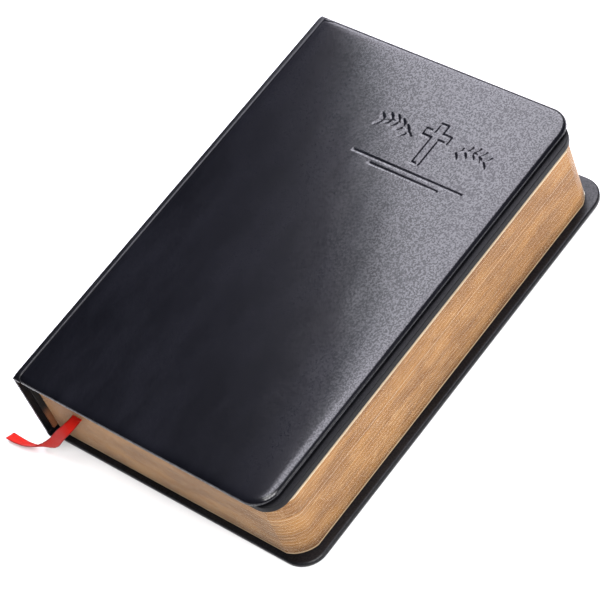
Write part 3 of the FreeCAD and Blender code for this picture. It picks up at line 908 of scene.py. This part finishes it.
def makeSection(cadNode, body, seed, values):
    low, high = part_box(cadNode)
    fill = values["ribbonFill"] if cadNode == values["underRibbon"] else values["fill"]
    width, length, height = high.x - low.x, high.y - low.y, high.z + fill - low.z
    pitch = height / values["leaves"]
    leaf = makeLeafMesh(width, length - 2 * values["jitter"], pitch * values["share"], values["corner"],
                        values["bulge"], cadNode + "_leaf")
    holder = bpy.data.objects.new(cadNode + "_holder", leaf)
    scene.collection.objects.link(holder)
    modifier = holder.modifiers.new("leaves", "NODES")
    modifier.node_group = leafTree
    start = (high.x, (low.y + high.y) / 2, low.z + pitch * (1 - values["share"]) / 2)
    setInputs(modifier, leafTree, {
        "Leaves": values["leaves"], "Pitch": pitch, "Start": start, "Width": width,
        "Fold Radius": values["fold"], "Stack Height": height, "Jitter": values["jitter"],
        "Seed": values["seed"] + seed, "Paper": paper[values["paper"]],
        "Gilt": gilt[values["edge"]]})
    bpy.context.view_layer.update()
    ready = holder.evaluated_get(bpy.context.evaluated_depsgraph_get())
    mesh = bpy.data.meshes.new_from_object(ready)
    bpy.data.objects.remove(holder)
    bpy.data.meshes.remove(leaf)
    piece = bpy.data.objects.new(cadNode + "_leaves", mesh)
    scene.collection.objects.link(piece)
    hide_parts(cadNode)
    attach(piece, body)
    return piece


bodies = frame["record"]["behaviour"]["bodies"]
bodyOf = {name: body for body, names in bodies.items() for name in names}
sections = sorted(name for name in frame["nodes"] if name.startswith("section_"))
for number, cadNode in enumerate(sections):
    made = makeSection(cadNode, bodyOf[cadNode], number, leafValues)
for cadNode in ("front_flyleaf", "back_flyleaf"):
    makeSection(cadNode, bodyOf[cadNode], 0, flyleafValues)
print("sections:", len(sections), "of", len(made.data.polygons), "faces each, and two flyleaves")

# What stays as the frame has it takes its finish here
carriedOver = {
    "front_cover_foam": paper["padFoam"], "front_cover_board": paper["greyBoard"],
    "back_cover_board": paper["greyBoard"], "front_pastedown": paper["endPaper"],
    "back_pastedown": paper["endPaper"], "spine_leather": leather["jointLeather"],
    "spine_inlay": paper["kraftPaper"], "spine_hollow_tube": paper["tubePaperPaintedShade"],
    "spine_mull": cloth["gauze"], "sewing_tapes": cloth["linenTape"], "sewing_thread": cloth["waxedThread"],
    "ribbon_marker": satin["redSatinMarker"],
}
for name, material in carriedOver.items():
    kept = frame["nodes"][name]
    kept.data.materials.clear()
    kept.data.materials.append(material)
print("finishes given to", len(carriedOver), "carried-over nodes")

# Floor and light
stageValues = {"floor": 8.0, "floorDrop": 0.02 * mm, "tone": (0.86, 0.86, 0.87, 1),
               "shade": (0.80, 0.80, 0.81, 1), "shadeShare": 0.06,
               "world": 0.05, "worldTint": (0.85, 0.90, 1.0, 1), "keyAway": 0.60,
               "keySize": (0.55, 0.90), "keyEdge": 0.050, "keyPower": 13.0, "keyTint": (1.0, 0.985, 1.10),
               "cameraSide": {"place": (1.15, -0.45, 1.55), "size": 1.2, "power": 55.0},
               "foreSide": {"place": (1.35, 0.15, 0.42), "size": 0.5, "power": 3.0},
               "above": {"place": (0.10, -0.12, 1.04), "size": 0.26, "power": 2.6}}


def makeFloor(values):
    half = values["floor"] / 2
    mesh = bpy.data.meshes.new("floor")
    corners = ((-half, -half), (half, -half), (half, half), (-half, half))
    mesh.from_pydata([(x, y, -values["floorDrop"]) for x, y in corners], [], [(0, 1, 2, 3)])
    floor = bpy.data.objects.new("floor", mesh)
    scene.collection.objects.link(floor)
    material, tree, shader, coordinates = startMaterial(
        "studioFloor", {"Roughness": 0.9, "Specular IOR Level": 0.1})
    clouds = noiseNode(tree, coordinates.outputs["Object"], 3.0, 2.0)
    share = spread(tree, clouds, 0.3, 0.7, 0.0, values["shadeShare"])
    tone = blendColours(tree, share, values["tone"], values["shade"])
    tree.links.new(tone, shader.inputs["Base Color"])
    mesh.materials.append(material)


def makeLamp(name, size, power, side, up, back, spot, tint=(1.0, 1.0, 1.0)):
    data = bpy.data.lights.new(name, "AREA")
    data.color = tint
    data.shape = "RECTANGLE"
    data.size, data.size_y = size
    data.energy = power
    lamp = bpy.data.objects.new(name, data)
    scene.collection.objects.link(lamp)
    lamp.matrix_world = turnTo(side, up, back, spot)


def makeLights(values):
    coverLow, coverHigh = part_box("front_cover_leather")
    target = Vector(((coverLow.x + coverHigh.x) / 2, (coverLow.y + coverHigh.y) / 2, coverHigh.z))
    forward = Vector(cameraValues["forward"]).normalized()
    side = (-Vector(cameraValues["down"])).cross(-forward).normalized()
    # the camera's directions as the cover mirrors them, so that the lamp shows on its head half
    toLamp = Vector((forward.x, forward.y, -forward.z))
    lampSide = Vector((side.x, side.y, -side.z))
    offset = values["keyEdge"] + values["keySize"][0] / 2
    spot = target + toLamp * values["keyAway"] + lampSide * offset
    makeLamp("keyLight", values["keySize"], values["keyPower"], lampSide, toLamp.cross(lampSide), toLamp,
             spot, values["keyTint"])
    for name in ("cameraSide", "foreSide", "above"):
        lamp = values[name]
        back = (Vector(lamp["place"]) - target).normalized()
        across = Vector((0, 0, 1)).cross(back).normalized()
        makeLamp(name, (lamp["size"], lamp["size"]), lamp["power"], across, back.cross(across), back,
                 Vector(lamp["place"]))
    world = bpy.data.worlds.new("studio")
    scene.world = world
    world.use_nodes = True
    background = world.node_tree.nodes["Background"]
    background.inputs["Color"].default_value = values["worldTint"]
    background.inputs["Strength"].default_value = values["world"]


makeFloor(stageValues)
makeLights(stageValues)
print("stage and lights made")
